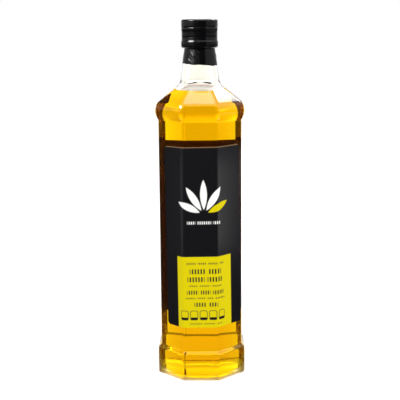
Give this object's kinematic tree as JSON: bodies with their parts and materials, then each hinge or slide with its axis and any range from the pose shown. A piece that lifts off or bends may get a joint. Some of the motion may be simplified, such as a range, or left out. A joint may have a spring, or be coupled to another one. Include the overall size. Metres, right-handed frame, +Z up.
{
  "type": "olive oil bottle",
  "caption": "Octagonal clear glass bottle filled with golden olive oil, with a black screw cap, a shrunk neck sleeve and dark wrap labels.",
  "frame": {"origin": "middle of the base, on the surface the bottle stands on", "axes": "+Z up along the bottle's axis, -Y towards the front label, +X to the right of it"},
  "size_m": [0.0744, 0.0744, 0.3022],
  "materials": {
    "clear_glass": "smooth clear bottle glass",
    "golden_oil": "clear golden liquid",
    "cap_plastic": "black satin lacquer",
    "sleeve_film": "black shrink film with wrinkles",
    "front_print": "black printed label with a yellow-green field and plain shapes",
    "back_print": "black printed label with plain pale bars"
  },
  "bodies": {
    "root": {"glass_bottle": "clear_glass", "olive_oil": "golden_oil", "screw_cap": "cap_plastic", "neck_sleeve": "sleeve_film", "front_label": "front_print", "back_label": "back_print"}
  },
  "joints": []
}
